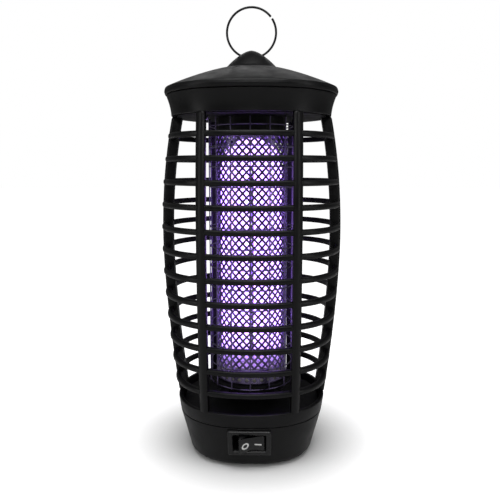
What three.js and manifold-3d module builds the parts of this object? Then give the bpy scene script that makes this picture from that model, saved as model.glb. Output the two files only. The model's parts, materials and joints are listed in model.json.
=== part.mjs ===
// Electric bug zapper: a hanging lantern with a ribbed guard cage round a high-voltage grid and a UV lamp.
// Millimetres, +Z up, front (the switch) towards -Y. The origin is on the ground, under the middle.
import * as THREE from "three";
import { mergeVertices } from "three/addons/utils/BufferGeometryUtils.js";
import Module from "manifold-3d";

const wasm = await Module();
wasm.setup();

// ---- Driving dimensions -----------------------------------------------------------------------------
const GAP = 0.3; // clearance between pieces that touch
const WALL = 2; // mouldings of the roof, the cage and the base
const PLAN_POWER = 2.3; // the plan's outline: 2 is a circle, more is squarer
const SIDES = 32; // flats round a shell

// Heights of the three mouldings, from the ground up.
const BASE_HEIGHT = 22.5;
const CAGE_OPENING = 142; // from the lower band's top edge to the skirt's lower edge
const BAND_HEIGHT = 7;
const BAND_LEDGE = 1.2; // thickness of the ledge inside the band
const SKIRT_HEIGHT = 9.8;
const ROOF_RISE = 13.7; // from the roof's lip to the foot of its finial
const FINIAL_RISE = 9;

// Half widths, measured at the middle of a side.
const BASE_FOOT_RADIUS = 31; // where the wall would meet the ground
const SEAM_RADIUS = 37.4;
const BODY_RADIUS = 45.45; // the barrel's widest
const BODY_WIDEST_AT = 0.59; // share of the cage's height
const SKIRT_RADIUS = 39.9;
const SKIRT_FLARE = 2.3; // how much wider the skirt is at its top
const ROOF_RADIUS = 43.2;
const LIP_ROUND = 0.5; // how far the lip's corners draw in
const LIP_EXTRA = 0.4; // extra thickness of the lip's wall
const FINIAL_RADIUS = 13.2;

// Guard cage.
const RING_COUNT = 12;
const RING_HEIGHT = 2.8;
const RING_DEPTH = 2.6;
const POST_WIDTH = 4.7;
const POST_DEPTH = 5.4;
const POST_PROUD = 0.6;
const POST_OFFSET = 22; // sideways, from the middle of the front and the back
const POST_FOOT = 6; // the posts start this far above the band's lower edge
const POST_HEAD = 0.8; // and end this far above the skirt's lower edge
const LEDGE_WIDTH = 1.8; // of the ledge inside the band
const PEG_RADIUS = 0.8; // pegs that locate the cage's two halves

// Grids, lamp and insulators.
const GRID_RADIUS = 21.7;
const GRID_WIRE = 1;
const GRID_UPRIGHTS = 14;
const GRID_HOOPS = 3;
const MESH_RADIUS = 18.6;
const MESH_THICKNESS = 0.6;
const INSULATOR = 2.5; // thickness of both insulator plates
const LAMP_TUBE = 14.5;
const LAMP_PITCH = 17; // between the tube's two legs
const LAMP_LENGTH = 115.5;
const LAMP_CAP_HEIGHT = 8;
const TRAY_DEPTH = 8.5; // from the tray's floor to the lower insulator

// Hanging ring.
const RING_WIRE = 1.2;
const RING_RADIUS = 12.2;
const RING_HOLE_RADIUS = 1.75;
const RING_HOLE_DOWN = 3; // from the finial's tip to the hole's axis
const MOUTH_START = 4.5; // from the middle of the hole
const MOUTH_FLARE = 2.2; // growth of its radius from there to the finial's foot radius

// Rocker switch.
const SWITCH_WIDTH = 21;
const SWITCH_HEIGHT = 14;
const BEZEL = 1.9; // how far the bezel stands out of its pocket's floor
const SWITCH_BODY_DEPTH = 9;
const SWITCH_SILL = 0.8; // from the bezel's top edge to the seam
const ROCKER_WIDTH = 12.8;
const ROCKER_HEIGHT = 8.9;
const ROCKER_TRAVEL = 28; // degrees

// Screws and feet.
const SCREW_SHANK = 2.6;
const SCREW_HEAD = 5;
const SCREW_HEAD_HEIGHT = 1.6;
const BOSS_RADIUS = 3.2;
const FOOT_RADIUS = 3.6;
const FOOT_HEIGHT = 1.2;
const COVER_RADIUS = 25.4;
const COVER_THICKNESS = 1.8;

// Bush for the mains cord, in the back of the base.
const BUSH_RADIUS = 3.6;
const BUSH_FLANGE = 1.4;
const BUSH_BORE = 2.1;
const BUSH_HEIGHT = 11; // of its axis

// ---- Heights and radii that follow from them --------------------------------------------------------
const bandBottom = BASE_HEIGHT + GAP;
const bandTop = BASE_HEIGHT + BAND_HEIGHT;
const skirtBottom = bandTop + CAGE_OPENING;
const skirtTop = skirtBottom + SKIRT_HEIGHT;
const lipBottom = skirtTop + GAP;
const finialFoot = lipBottom + ROOF_RISE;
const finialTip = finialFoot + FINIAL_RISE;
const ringHole = finialTip - RING_HOLE_DOWN;
const floorUnder = bandBottom + BAND_LEDGE + GAP; // the tray floor rests on a ledge inside the band
const trayFloor = floorUnder + WALL;
const lowerInsulator = trayFloor + TRAY_DEPTH; // its underside
const upperInsulator = skirtBottom - GAP; // its underside
const gridTop = upperInsulator - GAP;
const trayRadius = SEAM_RADIUS - WALL - GAP;
const lipInside = ROOF_RADIUS - WALL - LIP_EXTRA;
const spigotRadius = lipInside - GAP; // the skirt's upper edge stands inside the roof
const CLEAR = 10; // enough to cut right through a wall

// ---- Solids -----------------------------------------------------------------------------------------
// A closed three.js geometry as a manifold-3d solid.
function solid(geometry) {
  const bare = geometry.index ? geometry.toNonIndexed() : geometry.clone();
  for (const name of Object.keys(bare.attributes)) if (name !== "position") bare.deleteAttribute(name);
  const merged = mergeVertices(bare, 1e-4);
  const corners = merged.index.array;
  const kept = [];
  for (let i = 0; i < corners.length; i += 3) {
    const [a, b, c] = [corners[i], corners[i + 1], corners[i + 2]];
    if (a !== b && b !== c && c !== a) kept.push(a, b, c);
  }
  const vertProperties = merged.attributes.position.array;
  return new wasm.Manifold(new wasm.Mesh({ numProp: 3, vertProperties, triVerts: new Uint32Array(kept) }));
}

const joined = (first, ...others) => others.reduce((sum, next) => sum.add(next), first);
const cut = (first, ...others) => others.reduce((left, next) => left.subtract(next), first);

// A solid as a three.js geometry with flat faces.
function geometryOf(made) {
  const { vertProperties, triVerts } = made.getMesh();
  const geometry = new THREE.BufferGeometry();
  geometry.setAttribute("position", new THREE.BufferAttribute(vertProperties, 3));
  geometry.setIndex(new THREE.BufferAttribute(triVerts, 1));
  const flat = geometry.toNonIndexed();
  flat.computeVertexNormals();
  return flat;
}

// A profile of [radius, height] points, anticlockwise as seen with the axis on the left, turned about Z.
function turned(profile, sides = 24) {
  const points = profile.map(([radius, height]) => new THREE.Vector2(radius, height));
  return solid(new THREE.LatheGeometry(points, sides).rotateX(Math.PI / 2));
}

// How far the soft-square plan stands out at an angle, as a share of its half width.
function planScale(angle, power) {
  return (Math.abs(Math.sin(angle)) ** power + Math.abs(Math.cos(angle)) ** power) ** (-1 / power);
}

// The same, with the soft-square plan. powerAt gives the plan's power at a radius and a height.
function softTurned(profile, powerAt = () => PLAN_POWER) {
  const points = profile.map(([radius, height]) => new THREE.Vector2(radius, height));
  const geometry = new THREE.LatheGeometry(points, SIDES).rotateX(Math.PI / 2);
  const position = geometry.attributes.position;
  for (let i = 0; i < position.count; i++) {
    const [x, y] = [position.getX(i), position.getY(i)];
    const scale = planScale(Math.atan2(y, x), powerAt(Math.hypot(x, y), position.getZ(i)));
    position.setXY(i, x * scale, y * scale);
  }
  return solid(geometry);
}

// A solid disc with the soft-square plan.
const plug = (radius, bottom, top) => softTurned([[0, bottom], [radius, bottom], [radius, top], [0, top]]);

function block(width, depth, height, x = 0, y = 0, z = 0) {
  return solid(new THREE.BoxGeometry(width, depth, height).translate(x, y, z + height / 2));
}

function rod(radius, bottom, top, x = 0, y = 0, sides = 12) {
  const geometry = new THREE.CylinderGeometry(radius, radius, top - bottom, sides).rotateX(Math.PI / 2);
  return solid(geometry.translate(x, y, (bottom + top) / 2));
}

// The section of a round bar, with twice as many corners as the given number.
function disc(radius, corners) {
  const circle = new THREE.Shape().absarc(0, 0, radius, 0, 2 * Math.PI);
  return new THREE.Shape(circle.getPoints(corners).slice(0, -1));
}

const swept = (section, path, steps) =>
  solid(new THREE.ExtrudeGeometry(section, { steps, extrudePath: path, bevelEnabled: false }));

// A round bar along a line of points.
function bar(points, radius, steps, sides) {
  const along = points.map((point) => new THREE.Vector3(...point));
  const path = new THREE.CatmullRomCurve3(along, false, "centripetal");
  return swept(disc(radius, sides), path, steps);
}

// A plain hoop of wire about the Z axis.
function hoop(radius, height, wire, sides) {
  return solid(new THREE.TorusGeometry(radius, wire / 2, 4, sides).translate(0, 0, height));
}

// ---- Finishes ---------------------------------------------------------------------------------------
const finish = (color, roughness, metalness) =>
  new THREE.MeshStandardMaterial({ color, roughness, metalness });
const BLACK_PLASTIC = finish(0x1c1c1e, 0.45, 0);
const INNER_PLASTIC = finish(0x141416, 0.6, 0);
const SWITCH_PLASTIC = finish(0x101012, 0.35, 0);
const RUBBER = finish(0x18181a, 0.9, 0);
const STEEL_WIRE = finish(0xb8bac0, 0.3, 1);
const SCREW_STEEL = finish(0x9a9ca0, 0.35, 1);
const BRASS = finish(0xb59a55, 0.3, 1);
const LAMP_GLASS = finish(0xcbb6ff, 0.15, 0);
const BOARD_GREEN = finish(0x2d6a3c, 0.5, 0);
const CAPACITOR_FILM = finish(0xa83c22, 0.45, 0);
const FERRITE = finish(0x3a3a3e, 0.6, 0.2);
const LEAD_RED = finish(0xa02020, 0.5, 0);
const LEAD_BLACK = finish(0x202022, 0.5, 0);

const zapper = new THREE.Group();
function add(name, made, material) {
  const mesh = new THREE.Mesh(geometryOf(made), material);
  mesh.name = name;
  zapper.add(mesh);
  return mesh;
}

// ---- Outline of the body ----------------------------------------------------------------------------
const bodyMiddle = bandBottom + BODY_WIDEST_AT * (skirtBottom - bandBottom);
const LOWER_BOW = 1.63; // 1 is a straight taper, more stays wide for longer
const UPPER_BOW = 2.15;

// Half width of the barrel at a height: it bows out from the seam and comes in again to the skirt.
function barrelRadius(height) {
  const below = height < bodyMiddle;
  const [end, endRadius, bow] = below
    ? [bandBottom, SEAM_RADIUS, LOWER_BOW]
    : [skirtBottom, SKIRT_RADIUS, UPPER_BOW];
  const share = Math.abs((height - bodyMiddle) / (end - bodyMiddle));
  return BODY_RADIUS - (BODY_RADIUS - endRadius) * share ** bow;
}

const baseSlope = (SEAM_RADIUS - BASE_FOOT_RADIUS) / BASE_HEIGHT;
const baseRadius = (height) => BASE_FOOT_RADIUS + baseSlope * height;

// ---- Guard cage: skirt, rings, posts and lower band, in two half shells -----------------------------
const SPIGOT_HEIGHT = 2.8;
const SKIRT_BOW = 1.7;

function skirt() {
  const outer = [];
  const steps = 4;
  for (let i = 0; i <= steps; i++) {
    const share = i / steps;
    outer.push([SKIRT_RADIUS + SKIRT_FLARE * share ** SKIRT_BOW, skirtBottom + SKIRT_HEIGHT * share]);
  }
  return softTurned([
    ...outer,
    [spigotRadius, skirtTop],
    [spigotRadius, skirtTop + SPIGOT_HEIGHT],
    [spigotRadius - WALL, skirtTop + SPIGOT_HEIGHT],
    [spigotRadius - WALL, skirtTop],
    [SKIRT_RADIUS - WALL, skirtBottom],
    [SKIRT_RADIUS, skirtBottom],
  ]);
}

function band() {
  const [low, high] = [barrelRadius(bandBottom), barrelRadius(bandTop)];
  const ledgeRadius = low - WALL - LEDGE_WIDTH;
  return softTurned([
    [ledgeRadius, bandBottom],
    [low, bandBottom],
    [high, bandTop],
    [high - WALL, bandTop],
    [low - WALL, bandBottom + BAND_LEDGE],
    [ledgeRadius, bandBottom + BAND_LEDGE],
    [ledgeRadius, bandBottom],
  ]);
}

const ringPitch = (CAGE_OPENING + RING_HEIGHT) / (RING_COUNT + 1);
const ringHeightOf = (index) => skirtBottom + RING_HEIGHT / 2 - ringPitch * (index + 1);

function guardRing(index) {
  const middle = ringHeightOf(index);
  const radius = barrelRadius(middle);
  const [low, high] = [middle - RING_HEIGHT / 2, middle + RING_HEIGHT / 2];
  const inside = radius - RING_DEPTH;
  return softTurned([[inside, low], [radius, low], [radius, high], [inside, high], [inside, low]]);
}

// The six posts are cut from a shell that follows the barrel, so that they bow with it.
function posts() {
  const steps = 12;
  const low = bandBottom + POST_FOOT;
  const high = skirtBottom + POST_HEAD;
  const heights = Array.from({ length: steps + 1 }, (_, i) => low + ((high - low) * i) / steps);
  const at = (height) => barrelRadius(Math.min(height, skirtBottom));
  const outer = heights.map((height) => [at(height) + POST_PROUD, height]);
  const inner = heights.map((height) => [at(height) - POST_DEPTH + POST_PROUD, height]).reverse();
  const shell = softTurned([...outer, ...inner, outer[0]]);
  const reach = 2 * BODY_RADIUS;
  const tall = high - low + 2;
  const pillars = [-POST_OFFSET, POST_OFFSET].flatMap((x) =>
    [-1, 1].map((side) => block(POST_WIDTH, reach, tall, x, (side * reach) / 2, low - 1)),
  );
  for (const side of [-1, 1]) pillars.push(block(reach, POST_WIDTH, tall, (side * reach) / 2, 0, low - 1));
  // Room for the insulator plate above and for the tray floor below.
  const plateRoom = plug(SKIRT_RADIUS - WALL, upperInsulator - GAP, high + 1);
  const trayRoom = plug(trayRadius + GAP, low - 1, trayFloor + GAP);
  return cut(shell.intersect(joined(...pillars)), plateRoom, trayRoom);
}

// A barrel that is widest in the middle can't leave a mould core whole, so the cage is two half shells,
// parted through the side posts. Pegs on the front half locate it in the rear one.
const pegLength = POST_WIDTH / 2 - 1;
const pegHeights = [ringHeightOf(0), ringHeightOf(RING_COUNT - 1)];

function pegs(radius, reach) {
  const places = pegHeights.flatMap((height) => {
    const x = barrelRadius(height) + POST_PROUD - POST_DEPTH / 2;
    return [[-x, height], [x, height]];
  });
  const peg = rod(radius, -reach, 1, 0, 0, 8).rotate([90, 0, 0]);
  return joined(...places.map(([x, z]) => peg.translate([x, 0, z])));
}

function halfCage(whole, side) {
  const size = 2 * (BODY_RADIUS + CLEAR);
  const tall = finialTip + 2 * CLEAR;
  return whole.intersect(block(size, size, tall, 0, (side * (size + GAP)) / 2, -CLEAR));
}

const rings = Array.from({ length: RING_COUNT }, (_, index) => guardRing(index));
const cage = joined(skirt(), band(), posts(), ...rings);
add("guard_cage_front", halfCage(cage, -1).add(pegs(PEG_RADIUS, pegLength)), BLACK_PLASTIC);
add("guard_cage_rear", cut(halfCage(cage, 1), pegs(PEG_RADIUS + GAP, pegLength + GAP)), BLACK_PLASTIC);

// ---- Roof cap with its finial, and the hanging ring through it --------------------------------------
const LIP_HEIGHT = 3.2;
const ROOF_BOW = 1.3; // how late the slope falls away towards the lip
const FINIAL_BOW = 1.6;
const ceiling = finialFoot - WALL;
const SCREW_ROOM = 1.3; // between the roof screws' heads and the outer grid
const roofScrewCircle = GRID_RADIUS + GRID_WIRE / 2 + SCREW_HEAD / 2 + SCREW_ROOM;
const ROOF_BORE_DEPTH = 7;
const roofScrewAngles = [90, 210, 330];

// The roof's plan turns into the finial's circle on the way in.
const roofPower = (radius) =>
  THREE.MathUtils.lerp(2, PLAN_POWER, THREE.MathUtils.smoothstep(radius, FINIAL_RADIUS, spigotRadius - WALL));

function roofOutline() {
  const lipRadius = ROOF_RADIUS - LIP_ROUND;
  const lipTop = lipBottom + LIP_HEIGHT;
  const points = [[lipRadius, lipBottom], [ROOF_RADIUS, lipBottom + LIP_HEIGHT / 2], [lipRadius, lipTop]];
  const slopeSteps = 5;
  for (let i = slopeSteps - 1; i >= 0; i--) {
    const share = i / slopeSteps;
    const radius = THREE.MathUtils.lerp(FINIAL_RADIUS, lipRadius, share);
    points.push([radius, finialFoot - (finialFoot - lipTop) * share ** ROOF_BOW]);
  }
  const domeSteps = 4;
  for (let i = domeSteps - 1; i >= 0; i--) {
    const share = i / domeSteps;
    points.push([FINIAL_RADIUS * share, finialTip - FINIAL_RISE * share ** FINIAL_BOW]);
  }
  return points;
}

function roofHollow() {
  const shoulder = [THREE.MathUtils.lerp(lipInside, FINIAL_RADIUS, 0.4), lipBottom + ROOF_RISE / 2];
  return softTurned(
    [
      [0, lipBottom - 1],
      [lipInside, lipBottom - 1],
      [lipInside, lipBottom + SPIGOT_HEIGHT],
      shoulder,
      [FINIAL_RADIUS, ceiling],
      [0, ceiling],
    ],
    roofPower,
  );
}

function polar(radius, degrees) {
  const angle = THREE.MathUtils.degToRad(degrees);
  return [radius * Math.cos(angle), radius * Math.sin(angle)];
}

// The hole for the hanging ring has flared mouths, which leave the ring room to fold down.
function ringBore() {
  const [narrow, wide] = [RING_HOLE_RADIUS, RING_HOLE_RADIUS + MOUTH_FLARE];
  const [inner, outer] = [MOUTH_START, FINIAL_RADIUS];
  const profile = [[0, -outer], [wide, -outer], [narrow, -inner], [narrow, inner], [wide, outer], [0, outer]];
  return turned(profile, 12).rotate([0, 90, 0]).translate([0, 0, ringHole]);
}

// The bosses reach up into the roof's shell and no further.
function roofCap() {
  const outside = softTurned([[0, lipBottom], ...roofOutline()], roofPower);
  const bossEnd = upperInsulator + INSULATOR + GAP;
  const size = 2 * ROOF_RADIUS;
  const room = outside.translate([0, 0, -WALL / 4]).add(block(size, size, CLEAR, 0, 0, lipBottom - CLEAR));
  let cap = cut(outside, roofHollow(), ringBore());
  for (const angle of roofScrewAngles) {
    const [x, y] = polar(roofScrewCircle, angle);
    cap = cap.add(rod(BOSS_RADIUS, bossEnd, ceiling, x, y).intersect(room));
    cap = cap.subtract(rod(SCREW_SHANK / 2 + GAP, bossEnd - 1, bossEnd + ROOF_BORE_DEPTH, x, y));
  }
  return cap;
}

add("roof_cap", roofCap(), BLACK_PLASTIC);

// The bent wire lies as far below the hole's axis in the middle as above it at the ends.
function hangRing() {
  const exitDown = (RING_HOLE_DOWN - RING_HOLE_RADIUS / 2) / FINIAL_RISE;
  const wireExit = FINIAL_RADIUS * exitDown ** (1 / FINIAL_BOW);
  const sag = RING_RADIUS - Math.sqrt(RING_RADIUS ** 2 - wireExit ** 2);
  const middle = ringHole - sag / 2 + RING_RADIUS;
  const torus = new THREE.TorusGeometry(RING_RADIUS, RING_WIRE / 2, 6, 40).rotateX(Math.PI / 2);
  return solid(torus.translate(0, 0, middle));
}
add("hang_ring", hangRing(), STEEL_WIRE);

// ---- Base housing, with a flat pocket for the switch ------------------------------------------------
const FOOT_FILLET = 5;
const FOOT_POWER = 2.6; // the plan is squarer at the foot
const basePower = (_, height) =>
  THREE.MathUtils.lerp(FOOT_POWER, PLAN_POWER, THREE.MathUtils.smoothstep(height, 0, BASE_HEIGHT));
const baseTilt = THREE.MathUtils.radToDeg(Math.atan(baseSlope));
const bezelTop = BASE_HEIGHT - SWITCH_SILL;
const switchMiddle = bezelTop - (SWITCH_HEIGHT / 2) * Math.cos(Math.atan(baseSlope));
const POCKET_DEPTH = 0.9;
const SEAT_WIDTH = 2.5; // of the ledge that the bottom cover seats against
const recess = 0.6; // the housing's lower edge stands this far off the ground
const ledge = recess + COVER_THICKNESS + GAP; // the cover's seat

// Places a solid that was made facing -Y, from y = 0, on the base's sloping front at a height.
function onSlope(made, height, depth = 0) {
  return made.rotate([baseTilt, 0, 0]).translate([0, depth - baseRadius(height), height]);
}
const onFront = (made) => onSlope(made, switchMiddle, POCKET_DEPTH);
function onFrontPoint(x, y, z) {
  const point = new THREE.Vector3(x, y, z).applyAxisAngle(new THREE.Vector3(1, 0, 0), Math.atan(baseSlope));
  return [point.x, point.y + POCKET_DEPTH - baseRadius(switchMiddle), point.z + switchMiddle];
}
const onBack = (made) => onSlope(made, BUSH_HEIGHT).rotate([0, 0, 180]);

function baseHousing() {
  const outer = [];
  const turn = Math.PI / 2 - Math.atan(baseSlope);
  const steps = 4;
  const run = FOOT_FILLET * Math.tan(turn / 2);
  const corner = [baseRadius(recess) - run, recess + FOOT_FILLET];
  for (let i = 0; i <= steps; i++) {
    const angle = -Math.PI / 2 + (turn * i) / steps;
    outer.push([corner[0] + FOOT_FILLET * Math.cos(angle), corner[1] + FOOT_FILLET * Math.sin(angle)]);
  }
  const wallAt = (height) => baseRadius(height) - WALL;
  const shell = softTurned([
    [COVER_RADIUS + GAP, recess],
    ...outer,
    [baseRadius(BASE_HEIGHT), BASE_HEIGHT],
    [wallAt(BASE_HEIGHT), BASE_HEIGHT],
    [wallAt(ledge + FOOT_FILLET), ledge + FOOT_FILLET],
    [wallAt(ledge) - SEAT_WIDTH, ledge + WALL],
    [COVER_RADIUS - SEAT_WIDTH, ledge + WALL],
    [COVER_RADIUS - SEAT_WIDTH, ledge],
    [COVER_RADIUS + GAP, ledge],
    [COVER_RADIUS + GAP, recess],
  ], basePower);
  const room = (width, height, depth, y) =>
    block(width + 2 * GAP, depth, height + 2 * GAP, 0, y, -height / 2 - GAP);
  const pocket = room(SWITCH_WIDTH, SWITCH_HEIGHT, CLEAR, -CLEAR / 2);
  const opening = room(bodyWidth, bodyHeight, 2 * CLEAR, 0);
  const bushHole = rod(BUSH_RADIUS + GAP, -CLEAR, CLEAR, 0, 0, 16).rotate([90, 0, 0]);
  return cut(shell, onFront(pocket), onFront(opening), onBack(bushHole));
}

// ---- Rocker switch ----------------------------------------------------------------------------------
const bodyWidth = SWITCH_WIDTH - 2.4;
const bodyHeight = SWITCH_HEIGHT - 2.4;
const ROCKER_CLEARANCE = 1.35; // at each end, for its swing
const PIVOT_DEPTH = 1.6; // behind the pocket's floor
const ROCKER_END = 4.95; // the rocker's ends stand this far in front of its pivot
const ROCKER_MIDDLE = 2.9; // and its middle this far, so that its face is a shallow V
const ROCKER_BACK = 3.6;
const ROCKER_DRAFT = 1.2;
const TERMINAL = { width: 0.8, length: 6, height: 4.8, offset: 4 };

function switchHousing() {
  const flange = block(SWITCH_WIDTH, BEZEL, SWITCH_HEIGHT, 0, -BEZEL / 2 - GAP / 2, -SWITCH_HEIGHT / 2);
  const bodyDepth = SWITCH_BODY_DEPTH + GAP;
  const body = block(bodyWidth, bodyDepth, bodyHeight, 0, SWITCH_BODY_DEPTH / 2, -bodyHeight / 2);
  const windowWidth = ROCKER_WIDTH + 2 * ROCKER_CLEARANCE;
  const windowHeight = ROCKER_HEIGHT + 2 * GAP;
  const backWall = 1;
  const deep = CLEAR + SWITCH_BODY_DEPTH - backWall;
  const cavity = block(windowWidth, deep, windowHeight, 0, deep / 2 - CLEAR, -windowHeight / 2);
  return onFront(cut(flange.add(body), cavity));
}

// At rest the rocker's right half is pressed in, which is on.
function rocker() {
  const half = ROCKER_WIDTH / 2;
  const shoulder = ROCKER_BACK - 1.4;
  const outline = new THREE.Shape();
  outline.moveTo(-half, -ROCKER_END);
  outline.lineTo(0, -ROCKER_MIDDLE);
  outline.lineTo(half, -ROCKER_END);
  outline.lineTo(half - ROCKER_DRAFT, shoulder);
  outline.lineTo(0, ROCKER_BACK);
  outline.lineTo(-half + ROCKER_DRAFT, shoulder);
  outline.closePath();
  const prism = new THREE.ExtrudeGeometry(outline, { depth: ROCKER_HEIGHT, bevelEnabled: false, steps: 1 });
  const shape = solid(prism.translate(0, 0, -ROCKER_HEIGHT / 2));
  return onFront(shape.rotate([0, 0, ROCKER_TRAVEL / 2]).translate([0, PIVOT_DEPTH, 0]));
}

function terminal(x) {
  const { width, length, height } = TERMINAL;
  return onFront(block(width, length, height, x, SWITCH_BODY_DEPTH + 1.5 * GAP + length / 2, -height / 2));
}

add("base_housing", baseHousing(), BLACK_PLASTIC);
add("switch_housing", switchHousing(), SWITCH_PLASTIC);
add("switch_rocker", rocker(), SWITCH_PLASTIC);
add("switch_terminal_1", terminal(-TERMINAL.offset), BRASS);
add("switch_terminal_2", terminal(TERMINAL.offset), BRASS);

// ---- Bottom cover, its screws and feet --------------------------------------------------------------
const COVER_SCREW_REACH = 18;
const FOOT_OFFSET = 14.5;
const diagonals = [[1, 1], [-1, 1], [-1, -1], [1, -1]];
const coverScrewPlaces = [[COVER_SCREW_REACH, 0], [0, COVER_SCREW_REACH], [-COVER_SCREW_REACH, 0]];
const coverBottom = recess + 0.1;
const coverTop = coverBottom + COVER_THICKNESS;
const headSeat = coverBottom + 1;
const COVER_SCREW = { head: 0.7, length: 10 };
const ROOF_SCREW_LENGTH = 7.5;
const footAt = ([sx, sy]) => [sx * FOOT_OFFSET, sy * FOOT_OFFSET];

function baseCover() {
  const corners = [[COVER_RADIUS, coverBottom], [COVER_RADIUS, coverTop]];
  let cover = softTurned([[0, coverBottom], ...corners, [0, coverTop]], basePower);
  for (const [x, y] of diagonals.map(footAt)) {
    cover = cover.subtract(rod(FOOT_RADIUS + GAP, 0, FOOT_HEIGHT + GAP, x, y, 16));
  }
  for (const [x, y] of coverScrewPlaces) {
    const bore = rod(SCREW_SHANK / 2 + GAP, 0, coverTop + 1, x, y);
    const headSink = rod(SCREW_HEAD / 2 + GAP, 0, headSeat, x, y);
    cover = cut(cover, bore, headSink);
  }
  return cover;
}

// A screw driven upwards: its head's seat is at the given height.
function screw(x, y, seat, headHeight, length) {
  const shank = rod(SCREW_SHANK / 2, seat - GAP, seat + length, x, y, 8);
  return rod(SCREW_HEAD / 2, seat - GAP - headHeight, seat - GAP, x, y, 10).add(shank);
}

add("base_cover", baseCover(), BLACK_PLASTIC);
diagonals.forEach((corner, i) => {
  const [x, y] = footAt(corner);
  add(`foot_${i + 1}`, rod(FOOT_RADIUS, 0, FOOT_HEIGHT, x, y, 16), RUBBER);
});
coverScrewPlaces.forEach(([x, y], i) => {
  add(`cover_screw_${i + 1}`, screw(x, y, headSeat, COVER_SCREW.head, COVER_SCREW.length), SCREW_STEEL);
});

// ---- Tray floor: closes the base and catches what falls from the grid -------------------------------
const COLUMN_RADIUS = 9.5;
const columnHole = COLUMN_RADIUS + GAP;

function trayFloorPlate() {
  let plate = plug(trayRadius, floorUnder, trayFloor);
  for (const [x, y] of coverScrewPlaces) {
    const pillar = rod(BOSS_RADIUS, coverTop + GAP, floorUnder + 1, x, y);
    const bore = rod(SCREW_SHANK / 2 + GAP, coverTop, coverTop + COVER_SCREW.length, x, y);
    plate = plate.add(pillar).subtract(bore);
  }
  return cut(plate, rod(columnHole, 0, trayFloor + 1, 0, 0, 20));
}
add("tray_floor", trayFloorPlate(), INNER_PLASTIC);

// ---- Lower insulator: a hollow column with a plate that carries the grids and the lamp --------------
const plateTop = lowerInsulator + INSULATOR;
const meshBottom = plateTop + GAP;
const capBottom = plateTop + GAP;
const lampFoot = capBottom + LAMP_CAP_HEIGHT + GAP;
const fingerTop = lowerInsulator + 0.2;
const FINGER = { width: 3, height: 1, beyond: 0.4 }; // under the outer grid's lowest hoop, at its uprights
const COLLAR = { width: 3, height: 2 }; // on the tray floor, round the column
const PLUG_LENGTH = 12;

function lowerInsulatorPiece() {
  const plateRadius = GRID_RADIUS - GRID_WIRE / 2 - GAP;
  let piece = joined(
    rod(plateRadius, lowerInsulator, plateTop, 0, 0, 28),
    rod(COLUMN_RADIUS, floorUnder - 1, lowerInsulator + 1, 0, 0, 20),
    rod(COLUMN_RADIUS + COLLAR.width, trayFloor + GAP, trayFloor + GAP + COLLAR.height, 0, 0, 20),
  );
  for (const turn of [45, 135]) {
    const reach = 2 * (GRID_RADIUS + GRID_WIRE + FINGER.beyond);
    const finger = block(reach, FINGER.width, FINGER.height, 0, 0, fingerTop - FINGER.height);
    piece = piece.add(finger.rotate([0, 0, turn]));
  }
  return cut(piece, rod(COLUMN_RADIUS - WALL, 0, plateTop + 1, 0, 0, 20));
}
add("lower_insulator", lowerInsulatorPiece(), INNER_PLASTIC);

// ---- Grids: a welded wire cylinder round a fine mesh sleeve -----------------------------------------
const TOP_HOOP_DOWN = 3.6; // from the uprights' ends
const MESH_DOWN = 7.5;

function outerGrid() {
  const hoopBottom = fingerTop + GAP + GRID_WIRE / 2;
  const hoopTop = gridTop - TOP_HOOP_DOWN;
  const uprights = Array.from({ length: GRID_UPRIGHTS }, (_, i) => {
    const [x, y] = polar(GRID_RADIUS, (360 * (i + 0.5)) / GRID_UPRIGHTS);
    return rod(GRID_WIRE / 2, hoopBottom, gridTop, x, y, 4);
  });
  const hoops = Array.from({ length: GRID_HOOPS }, (_, i) => {
    const height = THREE.MathUtils.lerp(hoopBottom, hoopTop, i / (GRID_HOOPS - 1));
    return hoop(GRID_RADIUS, height, GRID_WIRE, 2 * GRID_UPRIGHTS);
  });
  return joined(...hoops, ...uprights);
}

function innerMesh() {
  const top = gridTop - MESH_DOWN;
  const inside = MESH_RADIUS - MESH_THICKNESS;
  const start = [inside, meshBottom];
  return turned([start, [MESH_RADIUS, meshBottom], [MESH_RADIUS, top], [inside, top], start], 28);
}
add("outer_grid", outerGrid(), STEEL_WIRE);
add("inner_grid", innerMesh(), STEEL_WIRE);

// ---- UV lamp: a folded tube on a cap, in the column -------------------------------------------------
const CAP_RIM = 1.5;
const ARC_HANDLE = 1.33; // makes the cubic curve a half circle

function lampCap() {
  const neck = rod(COLUMN_RADIUS - WALL - GAP, plateTop - PLUG_LENGTH, capBottom + 1, 0, 0, 20);
  const collar = rod(LAMP_PITCH / 2 + LAMP_TUBE / 2 + CAP_RIM, capBottom, lampFoot - GAP, 0, 0, 20);
  return collar.add(neck);
}

function lampTube() {
  const half = LAMP_PITCH / 2;
  const crown = lampFoot + LAMP_LENGTH - half - LAMP_TUBE / 2;
  const peak = crown + ARC_HANDLE * half;
  const point = (x, z) => new THREE.Vector3(x, 0, z);
  const bend = [point(-half, crown), point(-half, peak), point(half, peak), point(half, crown)];
  const path = new THREE.CurvePath();
  path.add(new THREE.LineCurve3(point(-half, lampFoot), bend[0]));
  path.add(new THREE.CubicBezierCurve3(...bend));
  path.add(new THREE.LineCurve3(bend[3], point(half, lampFoot)));
  return swept(disc(LAMP_TUBE / 2, 6), path, 30);
}
add("lamp_cap", lampCap(), finish(0xd8d8d2, 0.5, 0));
add("lamp_tube", lampTube(), LAMP_GLASS);

// ---- Upper insulator: hangs the outer grid under the roof, and its boss centres the mesh sleeve ------
const BOSS_OVERLAP = 0.8; // the boss reaches this far into the sleeve

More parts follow.
